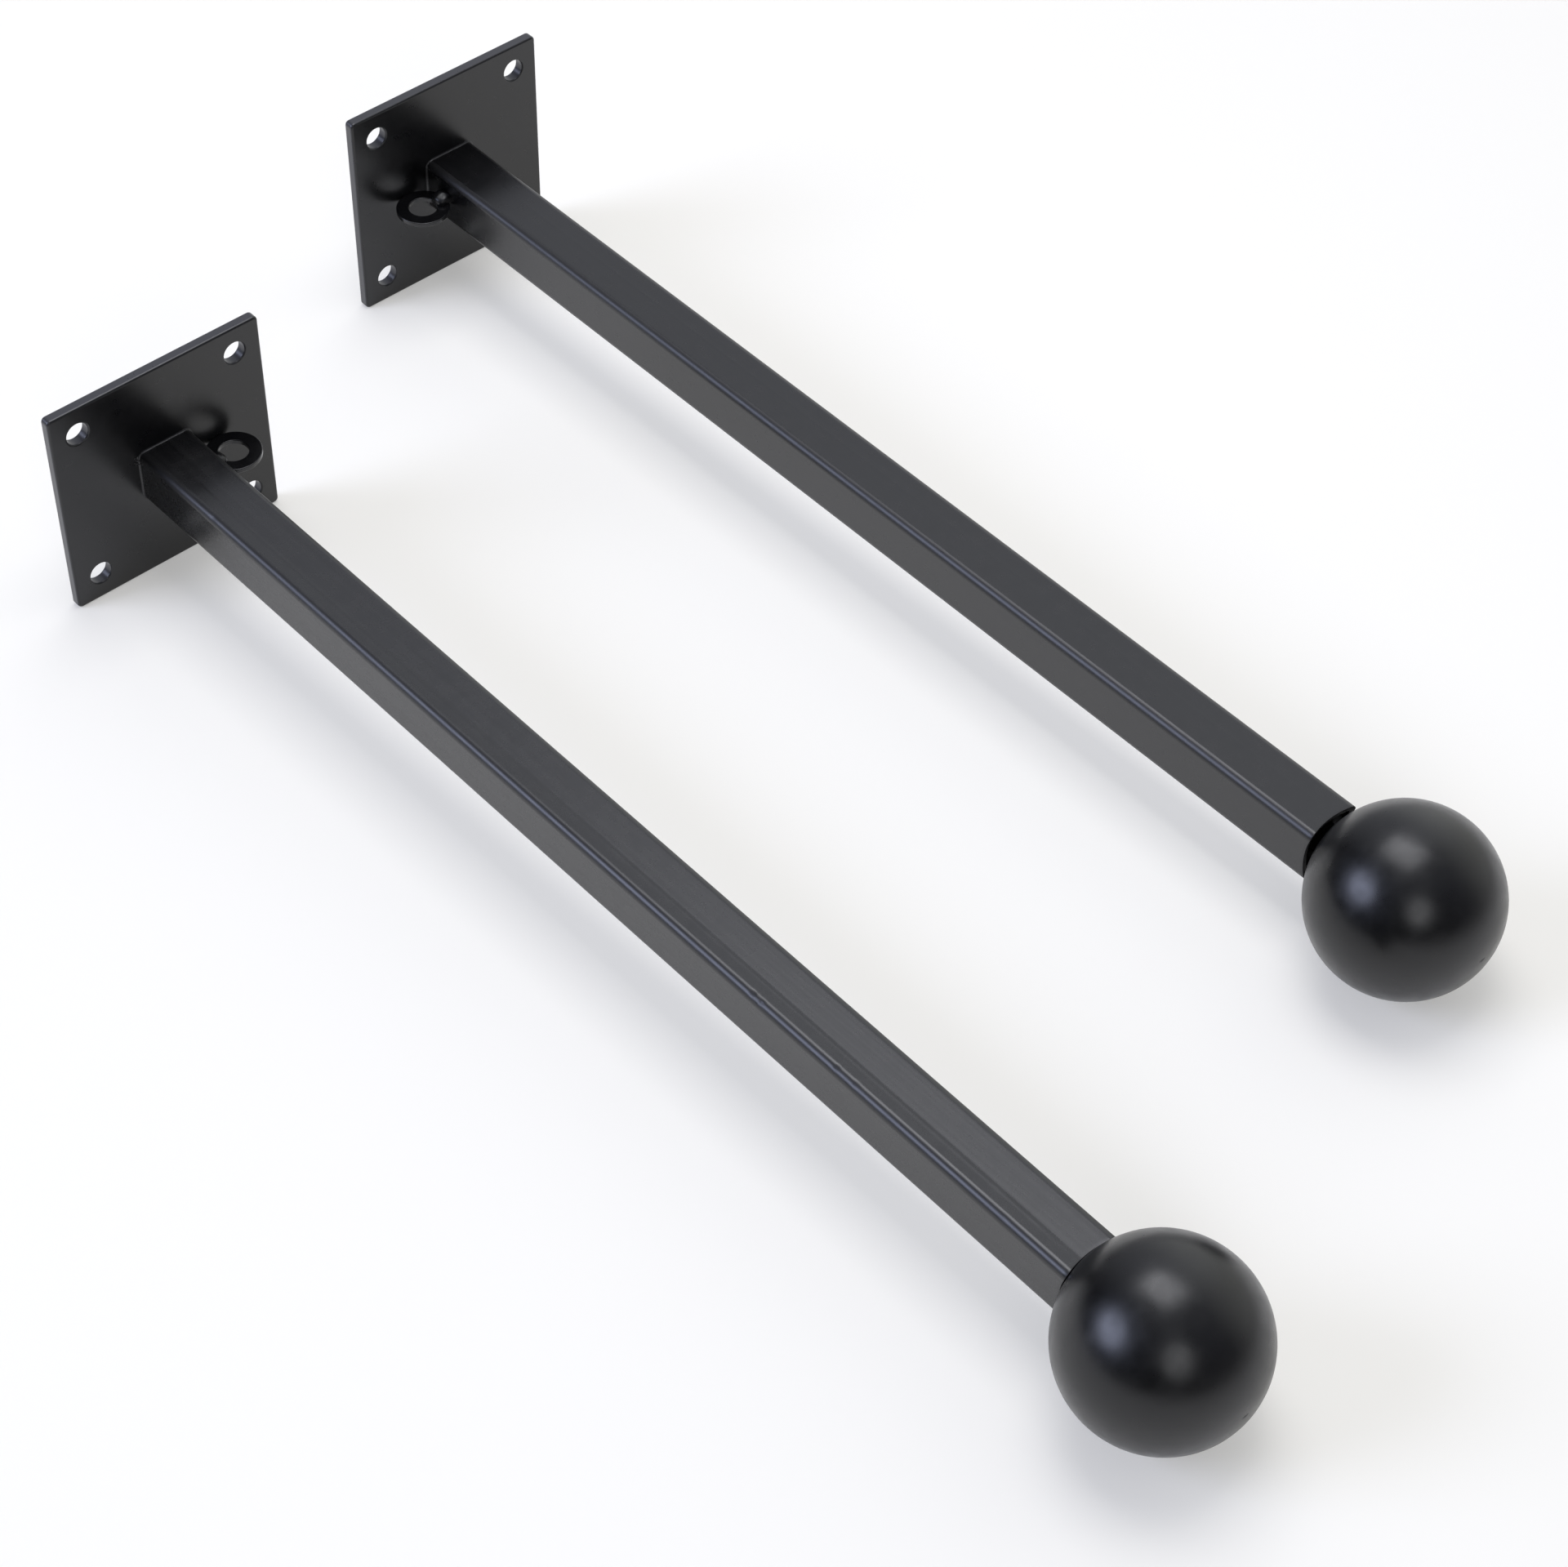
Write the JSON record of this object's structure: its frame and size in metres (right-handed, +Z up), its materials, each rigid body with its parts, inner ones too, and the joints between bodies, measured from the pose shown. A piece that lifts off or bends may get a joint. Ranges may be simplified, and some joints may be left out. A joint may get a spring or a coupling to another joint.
{
  "type": "wall-mounted pull-up arms",
  "caption": "Wall-mounted pull-up arms with ball grips: square tubes on bolted wall plates, turning balls at the free ends and a small anchor ring at the foot of each arm.",
  "frame": {"origin": "centre of the right arm's wall plate, on its back face", "axes": "+Y into the wall, the arms reach along -Y, +Z up when the arms are on the wall, +X from the left arm to the right arm"},
  "size_m": [0.3655, 0.813, 0.1221],
  "materials": {
    "plate_coat": "satin black powder coat",
    "tube_coat": "satin black powder coat",
    "ring_coat": "satin black powder coat",
    "weld_coat": "satin black powder coat over weld beads",
    "ball_coat": "smooth satin black coat",
    "turned_steel": "turned steel, blackened",
    "screw_steel": "blackened steel"
  },
  "bodies": {
    "right_arm": {"right_wall_plate": "plate_coat", "right_base_weld": "weld_coat", "right_square_tube": "tube_coat", "right_anchor_ring": "ring_coat", "right_ring_tube_weld": "weld_coat", "right_end_plug": "turned_steel", "right_plug_weld": "weld_coat", "right_retaining_screw": "screw_steel"},
    "right_ball": {"right_ball_grip": "ball_coat", "right_ball_spindle": "turned_steel", "right_spindle_weld": "weld_coat"},
    "left_arm": {"left_wall_plate": "plate_coat", "left_base_weld": "weld_coat", "left_square_tube": "tube_coat", "left_anchor_ring": "ring_coat", "left_ring_tube_weld": "weld_coat", "left_end_plug": "turned_steel", "left_plug_weld": "weld_coat", "left_retaining_screw": "screw_steel"},
    "left_ball": {"left_ball_grip": "ball_coat", "left_ball_spindle": "turned_steel", "left_spindle_weld": "weld_coat"}
  },
  "joints": [
    {"name": "left_arm_to_wall", "type": "slide", "parent": "right_arm", "child": "left_arm", "axis": [-0.9398, 0.3416, -0.0079], "range_m": [0, 0.2708]},
    {"name": "right_ball_turn", "type": "hinge", "parent": "right_arm", "child": "right_ball", "pos_m": [0, -0.6771, 0], "axis": [0, -1, 0], "continuous": true},
    {"name": "left_ball_turn", "type": "hinge", "parent": "left_arm", "child": "left_ball", "pos_m": [-0.2455, -0.7685, 0.00215], "axis": [0, -1, 0], "continuous": true}
  ]
}
